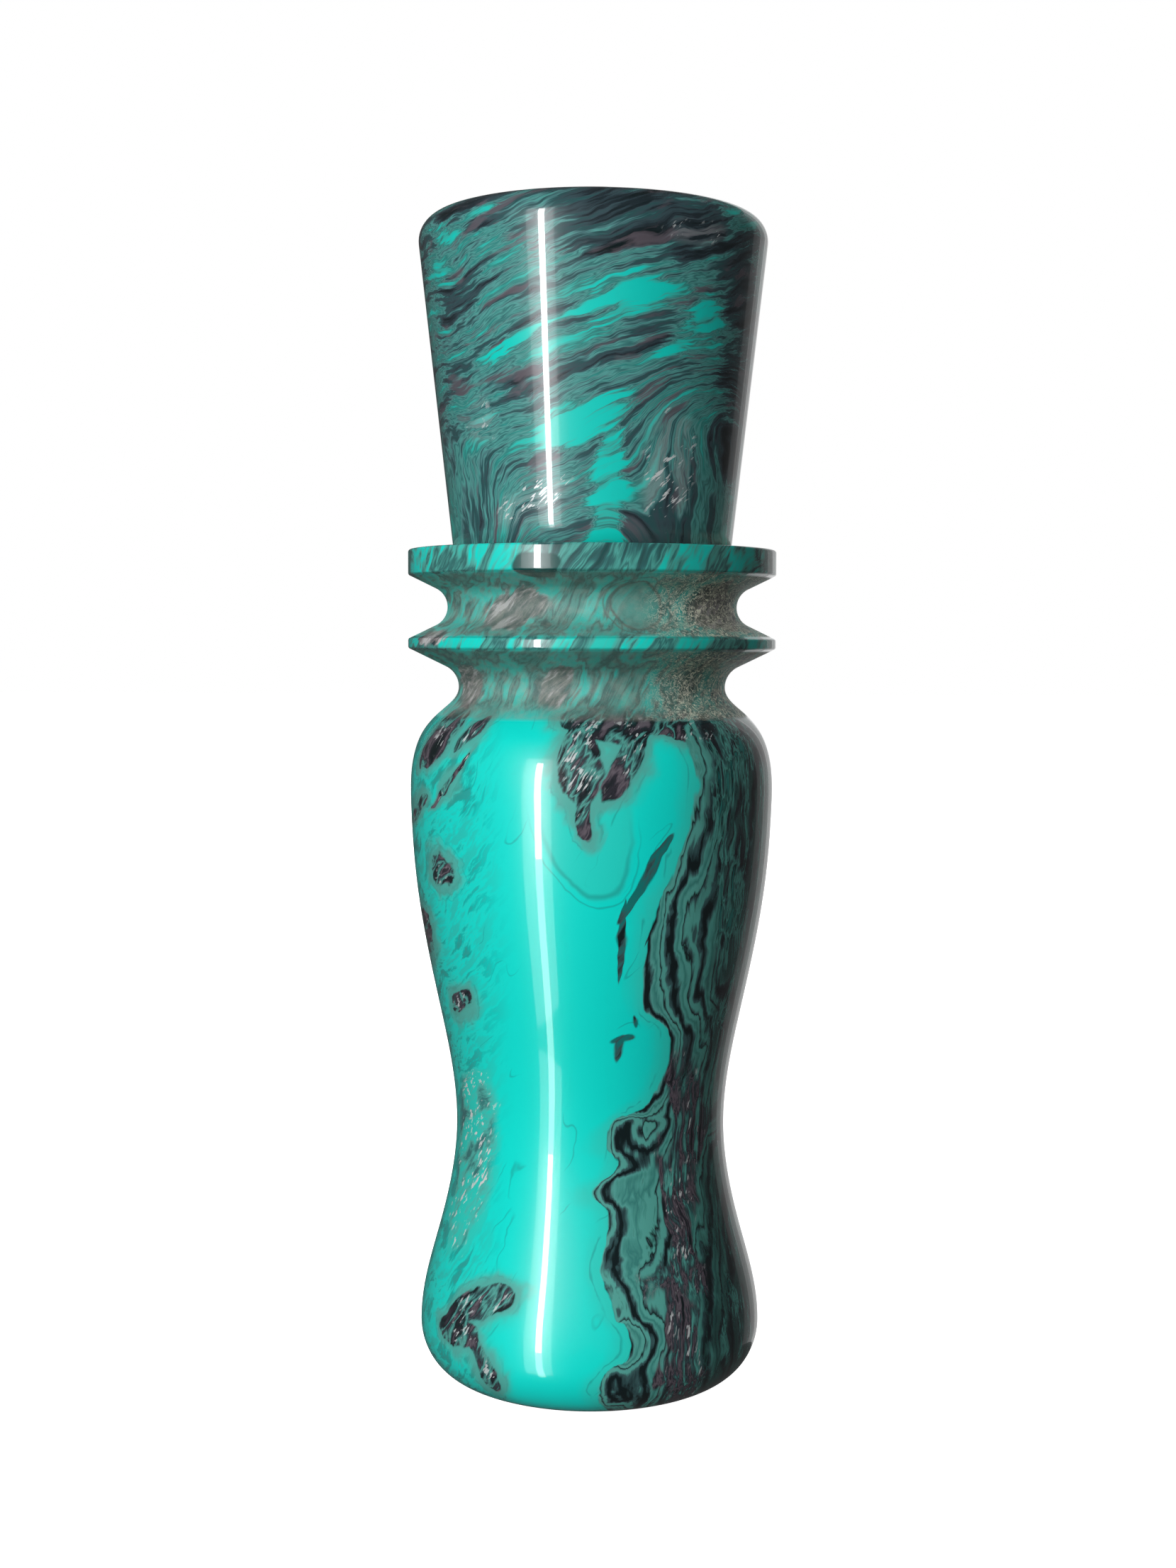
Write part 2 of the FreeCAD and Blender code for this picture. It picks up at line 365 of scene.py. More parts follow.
class Pattern:
    """A material's node tree, with the call's own coordinates in millimetres."""

    def __init__(self, name):
        self.material = bpy.data.materials.new(name)
        self.material.use_nodes = True
        self.tree = self.material.node_tree
        self.shader = self.tree.nodes["Principled BSDF"]
        place = self.tree.nodes.new("ShaderNodeTexCoord")
        metres = Value(self.tree, place.outputs["Object"])
        self.place = metres.vector("MULTIPLY", (1 / MM, 1 / MM, 1 / MM))
        self.x, self.y, self.z = self.parts(self.place)

    def point(self, *parts):
        """A place from its three coordinates."""
        node = self.tree.nodes.new("ShaderNodeCombineXYZ")
        for socket, part in zip(node.inputs, parts):
            self.tree.links.new(part.socket, socket)
        return Value(self.tree, node.outputs[0])

    def parts(self, place):
        """The three coordinates of a place."""
        node = self.tree.nodes.new("ShaderNodeSeparateXYZ")
        self.tree.links.new(place.socket, node.inputs[0])
        return [Value(self.tree, output) for output in node.outputs]

    def noise(self, place, scale, detail=3.0, roughness=0.55, distortion=0.0, colour=False):
        node = self.tree.nodes.new("ShaderNodeTexNoise")
        self.tree.links.new(place.socket, node.inputs["Vector"])
        node.inputs["Scale"].default_value = scale
        node.inputs["Detail"].default_value = detail
        node.inputs["Roughness"].default_value = roughness
        node.inputs["Distortion"].default_value = distortion
        return Value(self.tree, node.outputs["Color" if colour else "Fac"])

    def cells(self, place, scale, output="Distance", feature="F1"):
        node = self.tree.nodes.new("ShaderNodeTexVoronoi")
        node.feature = feature
        self.tree.links.new(place.socket, node.inputs["Vector"])
        node.inputs["Scale"].default_value = scale
        return Value(self.tree, node.outputs[output])

    def mapped(self, place, location=(0, 0, 0), tilt=0.0, size=(1, 1, 1)):
        """Coordinates of an ellipsoid at location, its long way turned up from +X by tilt degrees."""
        node = self.tree.nodes.new("ShaderNodeMapping")
        node.vector_type = "TEXTURE"
        self.tree.links.new(place.socket, node.inputs["Vector"])
        node.inputs["Location"].default_value = location
        node.inputs["Rotation"].default_value = (0, -math.radians(tilt), 0)
        node.inputs["Scale"].default_value = size
        return Value(self.tree, node.outputs[0])

    def warped(self, place, scale, amount, seed=0.0):
        """place, pushed about by up to half of amount millimetres."""
        moved = place.vector("ADD", (seed, seed, seed))
        push = self.noise(moved, scale, detail=2.0, colour=True).vector("SUBTRACT", (0.5, 0.5, 0.5))
        return place.vector("ADD", push.vector("MULTIPLY", (amount, amount, amount)))

    def blob(self, place, centre, size, tilt=0.0):
        """Roughly how many millimetres a place is inside an ellipsoid, negative outside it."""
        away = place.vector("DISTANCE", centre, output=1)
        share = self.mapped(place, centre, tilt, size).vector("LENGTH", output=1)
        return away / share - away

    def blobs(self, place, shapes, softness=0.4):
        """The union of several ellipsoids, each (centre, size, tilt)."""
        whole = None
        for centre, size, tilt in shapes:
            one = self.blob(place, centre, size, tilt)
            whole = one if whole is None else whole.largest(one, softness)
        return whole

    def curve(self, value, low, high, points):
        """A smooth curve through (value, result) points, both between low and high."""
        node = self.tree.nodes.new("ShaderNodeFloatCurve")
        share = (value - low) / (high - low)
        self.tree.links.new(share.socket, node.inputs["Value"])
        curve = node.mapping.curves[0]
        node.mapping.use_clip = False
        first, last = points[0], points[-1]
        curve.points[0].location = ((first[0] - low) / (high - low), first[1])
        curve.points[1].location = ((last[0] - low) / (high - low), last[1])
        for at, result in points[1:-1]:
            curve.points.new((at - low) / (high - low), result)
        node.mapping.update()
        return Value(self.tree, node.outputs["Value"])

    def ramp(self, value, stops, interpolation="LINEAR"):
        """Colours at positions along value. Colours are (r, g, b), linear."""
        node = self.tree.nodes.new("ShaderNodeValToRGB")
        self.tree.links.new(value.socket, node.inputs["Fac"])
        node.color_ramp.interpolation = interpolation
        elements = node.color_ramp.elements
        elements[0].position = stops[0][0]
        elements[0].color = (*stops[0][1], 1)
        elements[1].position = stops[-1][0]
        elements[1].color = (*stops[-1][1], 1)
        for position, colour in stops[1:-1]:
            elements.new(position).color = (*colour, 1)
        return Value(self.tree, node.outputs["Color"])

    def mix(self, share, a, b):
        """Colour a where share is 0, and b where it is 1."""
        node = self.tree.nodes.new("ShaderNodeMix")
        node.data_type = "RGBA"
        share.wire(node.inputs["Factor"], share)
        for socket, colour in ((node.inputs[6], a), (node.inputs[7], b)):
            if isinstance(colour, Value):
                self.tree.links.new(colour.socket, socket)
            else:
                socket.default_value = (*colour, 1)
        return Value(self.tree, node.outputs[2])

    def set(self, name, item):
        socket = self.shader.inputs[name]
        if isinstance(item, Value):
            self.tree.links.new(item.socket, socket)
        else:
            socket.default_value = item

    def bump(self, height, depth):
        """Raises the surface by height times depth millimetres."""
        node = self.tree.nodes.new("ShaderNodeBump")
        node.inputs["Distance"].default_value = depth * MM
        self.tree.links.new(height.socket, node.inputs["Height"])
        self.tree.links.new(node.outputs[0], self.shader.inputs["Normal"])


def srgb(r, g, b):
    """A linear colour from 0 to 255 display values."""
    return tuple(((c / 255 + 0.055) / 1.055) ** 2.4 if c > 10 else c / 255 / 12.92 for c in (r, g, b))


TURQUOISE = srgb(0, 206, 194)
TURQUOISE_PALE = srgb(40, 190, 176)
GREY_TEAL = srgb(78, 152, 142)
DEEP_TEAL = srgb(14, 104, 100)
SLATE = srgb(50, 80, 82)
CHARCOAL = srgb(44, 42, 50)
MAUVE = srgb(92, 84, 92)
INK = srgb(9, 24, 26)
PEARL = srgb(236, 242, 242)
HAZE = srgb(150, 152, 142)
BLUSH = srgb(132, 120, 122)

# The turquoise resin ends here and the dark resin begins: (z, x) on the side that the reeds face.
RIVER_BANK = [
    (0, 3.2),
    (3.7, 1.2),
    (7.9, 4.0),
    (10.8, 2.2),
    (15.4, 1.6),
    (19.8, 2.0),
    (22.4, 0.3),
    (24.6, 2.5),
    (26.8, 0.9),
    (29.4, 4.8),
    (35.8, 7.9),
    (41, 5.2),
    (46, 5.3),
    (54.5, 8.6),
    (63, 10.0),
    (67, 9.4),
    (84, 11),
]
# The same without its lobes, which the bands further in follow.
RIVER_COURSE = [
    (0, 2.6),
    (12, 2.2),
    (22, 2.4),
    (30, 5.6),
    (36, 7.0),
    (43, 5.6),
    (54.5, 8.2),
    (63, 9.6),
    (84, 11),
]
# The curves are stored as shares of this.
WIDEST_BANK = 12.0

# Dark resin folded into the turquoise, as ellipsoids: (centre), (half sizes), tilt in degrees up from +X.
DARK_FOLDS = [
    ((1.6, -15.8, 67.4), (5.0, 4.0, 2.2), 0),
    ((-0.9, -17.0, 62.8), (2.3, 3.0, 4.0), 8),
    ((-0.4, -17.6, 58.8), (0.8, 3.0, 2.6), 0),
    ((3.0, -16.4, 63.0), (1.3, 3.0, 5.2), -33),
    ((7.0, -13.2, 67.4), (5.4, 4.0, 1.6), -8),
    ((-15.2, -9.4, 64.8), (5.2, 4.0, 0.9), 52),
    ((-11.6, -12.6, 66.2), (2.8, 3.0, 0.45), 44),
    ((-13.8, -12.0, 61.0), (5.8, 3.0, 0.25), 56),
    ((-16.6, -6.0, 58.4), (3.8, 3.0, 0.6), 58),
    ((-17.2, -5.4, 45.6), (1.5, 3.0, 3.4), 15),
    ((-12.6, -9.6, 39.2), (0.8, 3.0, 2.0), -30),
    ((-11.4, -12.6, 9.6), (6.6, 3.0, 1.6), 27),
    ((-13.2, -11.6, 7.0), (3.2, 3.0, 1.6), -8),
    ((-10.4, -13.6, 4.8), (0.9, 3.0, 2.8), 28),
]
WISPS = [
    ((5.2, -16.6, 52.4), (0.55, 3.0, 5.0), -32),
    ((2.9, -16.8, 46.8), (0.28, 3.0, 4.0), -4),
    ((7.2, -15.8, 50.0), (0.18, 3.0, 4.6), -28),
    ((2.8, -14.9, 36.0), (0.34, 1.5, 1.2), 0),
    ((3.0, -14.9, 36.9), (0.9, 1.5, 0.3), 8),
    ((4.0, -15.1, 38.9), (0.2, 1.5, 0.7), 0),
]
NECK_SCRAPS = [
    ((-3.1, -13.1, 70.6), (1.0, 3.0, 3.2), -22),
    ((-12.0, -7.0, 70.6), (2.0, 4.0, 3.0), -10),
    ((-15.6, -9.6, 75.2), (3.0, 4.0, 0.9), 0),
    ((12.0, -9.0, 78.2), (3.4, 5.0, 2.2), 0),
]


def resin(name, colour_of):
    """Cast swirl resin. colour_of(pattern) returns its colour, its share of pearl, and how frosted it is."""
    p = Pattern(name)
    colour, pearl, frost_and_shade = colour_of(p)
    scratches = p.noise(p.warped(p.place, 1.5, 1.2), 3.0, detail=2, distortion=2.5)
    p.set("Base Color", p.mix(pearl, colour, PEARL))
    p.set("Metallic", pearl * 0.4)
    p.set("Roughness", frost_and_shade * 0.25 + 0.27)
    p.set("IOR", 1.45)
    p.set("Coat Weight", frost_and_shade * -0.95 + 1.0)
    p.set("Coat Roughness", 0.03)
    p.set("Coat IOR", 1.5)
    ripple = p.noise(p.mapped(p.place, size=(6, 6, 1.6)), 1.0, detail=2)
    p.bump(ripple * 0.3 + scratches * frost_and_shade * 1.4, 0.02)
    return p.material


def glints(p, place, where, tilt=90):
    """Slivers of silver mica, lying along tilt, in the places where the mask is."""
    slivers = p.noise(p.mapped(place, size=(1.5, 0.6, 0.24), tilt=tilt), 1.0, detail=2)
    clumps = p.noise(place, 0.4, detail=2).step(0.46, 0.56)
    return slivers.step(0.57, 0.64) * where * clumps


def pulse(value, centre, half_width):
    """1 at centre, fading to 0 half_width away on both sides."""
    away = (value - centre).math("ABSOLUTE")
    return away.step(half_width, 0.0)


def river_line(p, z, points):
    """How far out along X the dark resin begins at each height."""
    return p.curve(z, 0.0, BARREL_LENGTH, [(at, offset / WIDEST_BANK) for at, offset in points]) * WIDEST_BANK


def agate(p, place, x, z, depth):
    """The dark resin: bands that run alongside its edge, a dusky heart, and near black beyond."""
    course = x - river_line(p, z, RIVER_COURSE)
    follows = depth + (course - depth) * depth.step(1.0, 5.0)
    broad = p.noise(p.mapped(place, size=(4.5, 4.5, 26.0)), 1.0, detail=1.0, roughness=0.4)
    thin = p.noise(p.mapped(place, size=(1.1, 1.1, 15.0)), 1.0, detail=3, roughness=0.6)
    fibres = p.noise(p.mapped(place, size=(0.5, 0.5, 9.0)), 1.0, detail=4, roughness=0.6)
    phase = (follows * 0.40 + broad * 2.0 + thin * 0.6).math("FRACT")
    bands = p.ramp(
        phase + (fibres - 0.5) * 0.10,
        [
            (0.02, SLATE),
            (0.10, INK),
            (0.20, INK),
            (0.28, SLATE),
            (0.36, GREY_TEAL),
            (0.48, srgb(52, 118, 112)),
            (0.56, GREY_TEAL),
            (0.66, GREY_TEAL),
            (0.71, INK),
            (0.75, SLATE),
            (0.82, GREY_TEAL),
            (0.94, GREY_TEAL),
            (1.00, SLATE),
        ],
    )
    heart = p.ramp(
        thin * 0.4 + fibres * 0.6,
        [(0.36, INK), (0.42, CHARCOAL), (0.47, MAUVE), (0.50, CHARCOAL), (0.55, SLATE), (0.62, GREY_TEAL)],
    )
    wobble = p.noise(p.mapped(place, size=(3.0, 3.0, 7.0)), 1.0, detail=2)
    wander = x + (broad - 0.5) * 7.0 + (wobble - 0.5) * 9.0
    dusky = pulse(wander, 9.0, 3.6) * z.step(40.0, 27.0)
    dark = p.ramp(
        fibres * 0.35 + thin * 0.4 + wobble * 0.35,
        [
            (0.44, INK),
            (0.50, CHARCOAL),
            (0.53, INK),
            (0.56, SLATE),
            (0.59, GREY_TEAL),
            (0.63, INK),
            (0.67, DEEP_TEAL),
        ],
    )
    dark = p.mix(pulse(wander, 13.0, 3.4) * z.step(40.0, 27.0) * 0.8, dark, INK)
    far = wander.step(9.5, 14.0) * 0.8
    core = dusky.step(0.2, 0.5)
    return p.mix(far, p.mix(core, bands, heart), dark), core * thin.step(0.44, 0.56)


def barrel_colour(p):
    place = p.warped(p.warped(p.place, 0.10, 3.0), 0.30, 1.0, seed=31.0)
    x, _, z = p.parts(place)
    drawn = p.noise(p.mapped(place, size=(1.3, 1.3, 12.0)), 1.0, detail=2) - 0.5
    river = x - river_line(p, z, RIVER_BANK) + drawn * 1.4
    steep = p.noise(p.mapped(place, size=(6.0, 3.0, 0.9), tilt=57), 1.0, detail=4, roughness=0.6)
    folds = p.blobs(place, DARK_FOLDS) + (steep - 0.5) * 1.5
    wisps = p.blobs(place, WISPS, softness=0.2) + (steep - 0.5) * 0.5
    knot = p.blob(p.warped(place, 0.8, 1.6), (-14.6, -10.4, 52.6), (2.7, 3.0, 2.5))
    drape = p.blob(place, (-0.6, -17.5, 58.6), (4.6, 6.0, 8.6), 12)
    near = river.largest(folds, 0.5)
    veil = p.noise(p.mapped(place, size=(3.0, 3.0, 1.6), tilt=57), 1.0, detail=2)
    # Turquoise, paler around the folds and at the left, with faint thin lines.
    left = x.step(-7.5, -12.5)
    pale = near.step(-2.6, -0.2).largest(drape.step(-0.2, 0.6) * 0.7)
    pale = pale.largest(left * steep.step(0.42, 0.58) * 0.7)
    clear = p.mix(pale * 0.8, TURQUOISE, TURQUOISE_PALE)
    combed = p.ramp(
        steep,
        [
            (0.37, SLATE),
            (0.41, srgb(24, 122, 116)),
            (0.47, TURQUOISE_PALE),
            (0.52, TURQUOISE),
            (0.60, srgb(38, 166, 156)),
        ],
    )
    clear = p.mix(left * 0.6, clear, combed)
    strands = p.noise(p.mapped(place, size=(14.0, 6.0, 3.4), tilt=58), 1.0, detail=1)
    hair = pulse(strands, 0.5, 0.010) * p.noise(place, 0.16, detail=1).step(0.54, 0.62)
    rims = pulse(drape, 0.5, 0.45).largest(pulse(drape, -0.5, 0.16)) * z.step(60.0, 52.0)
    rims = rims.largest(pulse(knot, 0.2, 0.24)).largest(pulse(knot, -0.6, 0.16) * 0.6)
    rims = rims.largest(pulse(near, -0.9, 0.2) * drawn.step(-0.06, 0.08))
    clear = p.mix(hair.largest(rims) * 0.5, clear, srgb(20, 122, 116))
    inky = p.ramp(steep, [(0.4, INK), (0.52, SLATE), (0.6, DEEP_TEAL)])
    clear = p.mix(wisps.step(-0.25, 0.12), clear, inky)
    swept = p.noise(p.mapped(place, size=(8.0, 4.0, 1.7), tilt=57), 1.0, detail=2)
    scrap = p.ramp(
        steep * 0.35 + swept * 0.65,
        [
            (0.34, INK),
            (0.40, CHARCOAL),
            (0.43, MAUVE),
            (0.46, CHARCOAL),
            (0.48, SLATE),
            (0.50, GREY_TEAL),
            (0.53, SLATE),
            (0.55, INK),
            (0.59, CHARCOAL),
            (0.63, MAUVE),
        ],
    )
    folds = folds.largest(knot - 0.9)
    colour = p.mix((folds + (veil - 0.5) * 2.4).step(-1.7, -0.2) * 0.85, clear, GREY_TEAL)
    colour = p.mix(folds.step(-0.1, 0.2), colour, scrap)
    dark, heart = agate(p, place, x, z, river)
    colour = p.mix(river.step(-0.12, 0.12), colour, dark)
    glitter = p.blob(place, (-12.2, -8.0, 23.6), (3.4, 5.0, 9.5), -12) + (steep - 0.5) * 6.0
    mica_bed = p.ramp(steep, [(0.38, srgb(56, 96, 98)), (0.46, GREY_TEAL), (0.58, TURQUOISE_PALE)])
    colour = p.mix(glitter.step(-0.8, 1.0) * 0.85, colour, mica_bed)
    neck, haze, worn = neck_colour(p, place, x)
    colour = p.mix(p.z.step(67.4, 69.0) * 0.92, colour, neck)
    frost_and_shade = p.z.step(67.2, 67.6) * rims_polished(p)
    # Painted shade: the grooves between the rims are darkened towards a dark teal-grey.
    colour = p.mix(frost_and_shade * 0.30, colour, srgb(40, 56, 54))
    colour = p.mix(frost_and_shade * haze, colour, HAZE)
    colour = p.mix(frost_and_shade * worn, colour, srgb(236, 236, 214))
    deep = folds.step(0.2, 0.8) * p.z.step(68.0, 66.5)
    shine = glints(p, p.place, deep * 0.65, tilt=57)
    shine = shine.largest(glints(p, p.place, glitter.step(0.0, 1.6), tilt=62))
    shine = shine.largest(glints(p, p.place, heart, tilt=78) * 0.7)
    return colour, shine, frost_and_shade


def neck_colour(p, place, x):
    """The streakier pour around the flanges, darkened on the right side by painted shade, with how hazy and
    how scratched the grooves are.
    """
    slanted = p.noise(p.mapped(place, size=(16.0, 8.0, 6.0), tilt=62), 1.0, detail=3, roughness=0.5)
    streaks = p.noise(p.mapped(place, size=(11.0, 4.0, 0.9), tilt=62), 1.0, detail=4)
    oval = p.blob(place, (4.6, -14.2, 78.2), (2.6, 4.0, 2.3))
    bands = p.ramp(
        slanted * 0.7 + streaks * 0.3 - (x.step(-4.0, 14.0) - 0.5) * 0.04 + 0.012,
        [
            (0.34, INK),
            (0.38, CHARCOAL),
            (0.41, SLATE),
            (0.44, GREY_TEAL),
            (0.46, SLATE),
            (0.48, GREY_TEAL),
            (0.50, TURQUOISE_PALE),
            (0.53, TURQUOISE),
            (0.56, GREY_TEAL),
            (0.58, SLATE),
            (0.61, GREY_TEAL),
            (0.66, TURQUOISE_PALE),
        ],
    )
    scraps = p.blobs(place, NECK_SCRAPS) + (streaks - 0.5) * 5.0
    silk = p.noise(p.mapped(place, size=(5.0, 2.0, 0.5), tilt=48), 1.0, detail=4, roughness=0.65)
    patch = p.ramp(
        silk,
        [(0.38, CHARCOAL), (0.46, srgb(92, 84, 86)), (0.53, BLUSH), (0.60, srgb(186, 178, 180))],
    )
    blush = p.blob(place, (-7.2, -12.5, 78.0), (4.0, 4.0, 1.8), 20) + (streaks - 0.5) * 4.0
    bands = p.mix(scraps.largest(blush).step(-0.3, 0.4), bands, patch)
    # A dark spot at a fixed place on the upper flange.
    spot = p.blob(place, (-5.4, -17.6, 82.0), (2.4, 2.0, 1.2), 10)
    bands = p.mix(spot.step(-0.2, 0.2), bands, INK)
    bands = p.mix(oval.step(-0.2, 0.3) * 0.7, bands, GREY_TEAL)
    bands = p.mix(pulse(oval, 0.0, 0.28).largest(pulse(oval, -0.8, 0.2) * 0.7), bands, srgb(70, 78, 76))
    cloud = p.noise(p.place, 0.8, detail=5, roughness=0.7).step(0.38, 0.68)
    squiggle = p.noise(p.warped(p.place, 0.9, 2.0), 0.9, detail=2, distortion=2.5)
    right = x.step(4.0, 10.0)
    # Painted shade: the right side is darkened towards ink.
    bands = p.mix(right * 0.35, bands, INK)
    return bands, cloud * 0.25 + 0.12, pulse(squiggle, 0.5, 0.05) * right * 0.9


def rims_polished(p):
    """0 on the two flanges' rims, which the buffing wheel reaches, and 1 in the grooves between them."""
    radius = (p.x * p.x + p.y * p.y).math("SQRT")
    return radius.step(FLANGE_RADIUS - 0.35, FLANGE_RADIUS - 0.75)


def stopper_colour(p):
    place = p.warped(p.warped(p.place, 0.055, 4.0, seed=9.0), 0.40, 0.6, seed=17.0)
    x, y, z = p.parts(place)
    # The pour rises to the right at SLANT, and turns upright towards the foot at both sides.
    slant = math.radians(20)
    along = x * math.cos(slant) + z * math.sin(slant)
    across = z * math.cos(slant) - x * math.sin(slant)
    right_foot = p.blob(place, (11.5, -9.0, 87.0), (7.4, 14.0, 12.0))
    left_foot = p.blob(place, (-14.0, -7.0, 86.0), (5.0, 12.0, 9.0))
    upright = right_foot.largest(left_foot).step(-4.5, 3.5)
    along = along + (x * 1.1 + z - 60.0 - along) * upright
    across = across + (x * -0.6 + 86.0 - across) * upright
    flow = p.point(along, y, across)
    flow = p.warped(flow, 0.24, 1.3, seed=3.0)
    broad = p.noise(p.mapped(flow, size=(20.0, 9.0, 3.2)), 1.0, detail=2)
    fine = p.noise(p.mapped(flow, size=(12.0, 6.0, 0.8)), 1.0, detail=3, roughness=0.62)
    feather = (fine - 0.5) * 8.0
    bright = p.blobs(
        place,
        [
            ((1.8, -16.5, 106.2), (5.2, 4.0, 1.9), 16),
            ((9.6, -13.4, 104.6), (5.0, 4.0, 1.6), 44),
            ((1.4, -15.0, 88.0), (1.9, 4.0, 8.0), -8),
            ((-0.4, -15.0, 95.2), (5.0, 4.0, 2.4), 16),
            ((-12.4, -11.0, 114.6), (6.6, 4.0, 0.7), 22),
            ((-8.4, -13.5, 102.6), (6.0, 4.0, 0.7), 20),
        ],
        softness=0.8,
    )
    dark = p.blobs(
        place,
        [
            ((4.5, -16.0, 113.6), (13.0, 6.0, 3.2), 4),
            ((-3.0, -15.0, 116.4), (16.0, 9.0, 2.2), 4),
            ((-12.5, -10.5, 108.6), (4.4, 4.0, 2.2), 40),
            ((-1.0, -15.5, 100.6), (10.0, 4.0, 1.1), 18),
            ((14.5, -8.0, 100.0), (3.0, 6.0, 12.0), 0),
            ((11.5, -12.0, 110.4), (6.0, 6.0, 2.4), 20),
        ],
        softness=1.0,
    )
    lift = (bright + feather * 0.6).step(-0.8, 1.6) * 0.17
    sink = (dark - feather * 0.6).step(-1.4, 1.8) * 0.12
    tone = fine * 0.66 + broad * 0.34 + lift - sink
    colour = p.ramp(
        tone,
        [
            (0.26, INK),
            (0.34, srgb(34, 46, 52)),
            (0.39, srgb(52, 72, 78)),
            (0.43, srgb(38, 76, 78)),
            (0.46, srgb(70, 112, 114)),
            (0.485, srgb(78, 148, 142)),
            (0.51, srgb(46, 98, 98)),
            (0.53, srgb(76, 146, 140)),
            (0.56, srgb(44, 116, 112)),
            (0.59, srgb(52, 160, 150)),
            (0.66, srgb(8, 192, 180)),
        ],
    )
    dusky = p.noise(p.mapped(flow, size=(9.0, 4.0, 1.6)), 1.0, detail=4).step(0.54, 0.64)
    colour = p.mix(dusky * tone.step(0.55, 0.45) * 0.7, colour, MAUVE)
    silver = p.blobs(
        place,
        [
            ((-6.0, -13.5, 88.0), (5.0, 4.0, 1.8), 32),
            ((7.5, -13.0, 91.0), (2.6, 4.0, 6.0), -10),
            ((-10.5, -10.5, 96.0), (1.6, 3.0, 2.0), 0),
            ((9.0, -14.0, 113.0), (4.0, 4.0, 1.0), 10),
        ],
    )
    shine = glints(p, p.place, silver.step(-0.5, 1.2), tilt=42)
    colour = p.mix(silver.step(-1.0, 1.5) * fine.step(0.46, 0.56) * 0.4, colour, srgb(146, 142, 146))
    return colour, shine, 0.0


def smoke_plastic():
    """Smoke-tinted polycarbonate with fine turning rings and filed flats."""
    p = Pattern("smoke_polycarbonate")
    rings = p.noise(p.mapped(p.place, size=(40, 40, 0.22)), 1.0, detail=2)
    filed = p.noise(p.mapped(p.place, size=(0.25, 2.0, 9.0)), 1.0, detail=3)
    tint = p.noise(p.place, 0.16, detail=2)
    p.set("Base Color", p.mix(tint, srgb(40, 44, 48), srgb(74, 80, 86)))
    p.set("Roughness", filed * 0.20 + 0.12)
    p.set("IOR", 1.58)
    p.set("Coat Weight", 0.6)
    p.set("Coat Roughness", 0.12)
    p.bump(rings * 0.6 + filed * 0.5, 0.015)
    return p.material


def reed_film():
    """Milky polyester film, faintly streaked along its length, with a few fine scuffs."""
    p = Pattern("polyester_film")
    rolled = p.noise(p.mapped(p.place, size=(0.5, 4.0, 18.0)), 1.0, detail=3)
    scuffs = p.noise(p.mapped(p.warped(p.place, 0.6, 1.5), size=(4.0, 1.0, 0.3), tilt=24), 1.0, detail=2)
    p.set("Base Color", p.mix(rolled, srgb(140, 152, 158), srgb(182, 192, 194)))
    p.set("Roughness", scuffs.step(0.5, 0.62) * 0.18 + 0.24)
    p.set("IOR", 1.64)
    p.bump(rolled * 0.4 + scuffs * 0.3, 0.01)
    return p.material


def composition_cork():
    """Pressed cork: tan granules of many shades in a dark binder."""
    p = Pattern("composition_cork")
    shade = p.parts(p.cells(p.place, 1 / CORK_GRAIN, output="Color"))[0]
    seam = p.cells(p.place, 1 / CORK_GRAIN, feature="DISTANCE_TO_EDGE")
    fine = p.noise(p.place, 5.0, detail=3)
    granules = p.ramp(
        shade * 0.7 + fine * 0.3,
        [
            (0.1, srgb(116, 76, 44)),
            (0.4, srgb(164, 116, 70)),
            (0.7, srgb(192, 146, 94)),
            (0.95, srgb(212, 172, 120)),
        ],
    )
    p.set("Base Color", p.mix(seam.step(0.10, 0.0) * 0.8, granules, srgb(74, 46, 28)))
    p.set("Roughness", fine * 0.1 + 0.82)
    p.bump(fine, 0.05)
    return p.material


def nitrile_rubber():
    """Black rubber with a dusty bloom where it has been greased and wiped."""
    p = Pattern("nitrile_rubber")
    bloom = p.noise(p.place, 0.9, detail=4, roughness=0.65)
    p.set("Base Color", p.mix(bloom.step(0.45, 0.7), srgb(20, 20, 21), srgb(46, 46, 46)))
    p.set("Roughness", bloom * 0.25 + 0.34)
    p.bump(p.noise(p.place, 6.0, detail=2), 0.008)
    return p.material


# ---------------------------------------------------------------- pieces


def assign(piece, material):
    piece.data.materials.clear()
    piece.data.materials.append(material)


def make_barrel():
    piece = lathe("barrel_turned", barrel_outline())
    assign(piece, resin("barrel_swirl", barrel_colour))
    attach(piece, "barrel")
    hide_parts("barrel")


def make_stopper():
    piece = lathe("stopper_turned", stopper_outline())
    assign(piece, resin("stopper_swirl", stopper_colour))
    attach(piece, "stopper")
    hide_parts("stopper")


